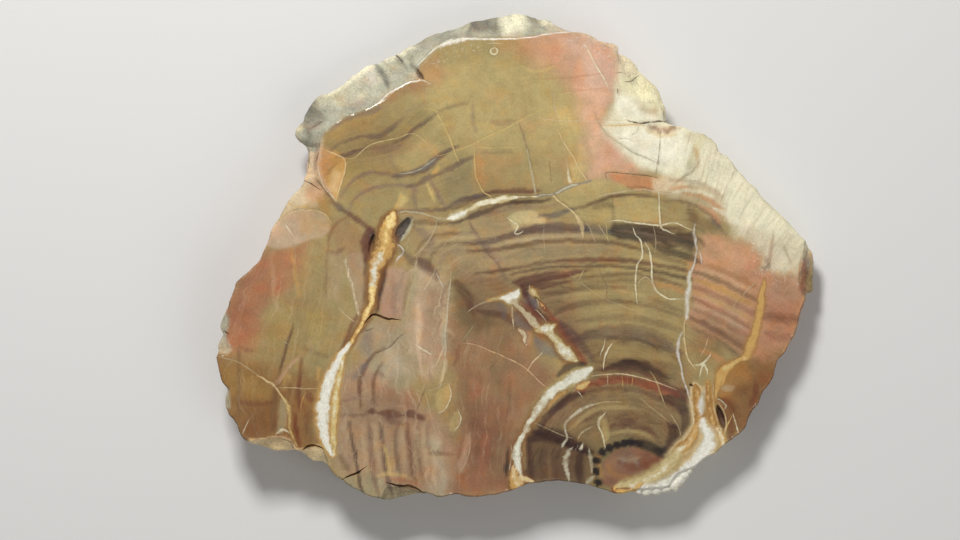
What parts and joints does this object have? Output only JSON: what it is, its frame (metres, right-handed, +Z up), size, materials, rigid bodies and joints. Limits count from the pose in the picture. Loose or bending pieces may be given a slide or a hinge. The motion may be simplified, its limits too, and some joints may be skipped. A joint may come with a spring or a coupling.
{
  "type": "petrified araucaria slice",
  "caption": "Wedge-sawn slice of petrified araucaria log with a polished face, growth rings, quartz veins and a broken natural edge.",
  "frame": {"origin": "on the resting plane, under the middle of the outline seen from above", "axes": "+Z up, square to the sawn underside; +X towards the thin end with the chipped corner, along the longest side; +Y towards the broken shoulder"},
  "size_m": [0.1202, 0.0979, 0.014],
  "materials": {
    "petrified_wood": "polished face, matt broken edge and sawn underside"
  },
  "bodies": {
    "root": {"petrified_slice": "petrified_wood"}
  },
  "joints": []
}
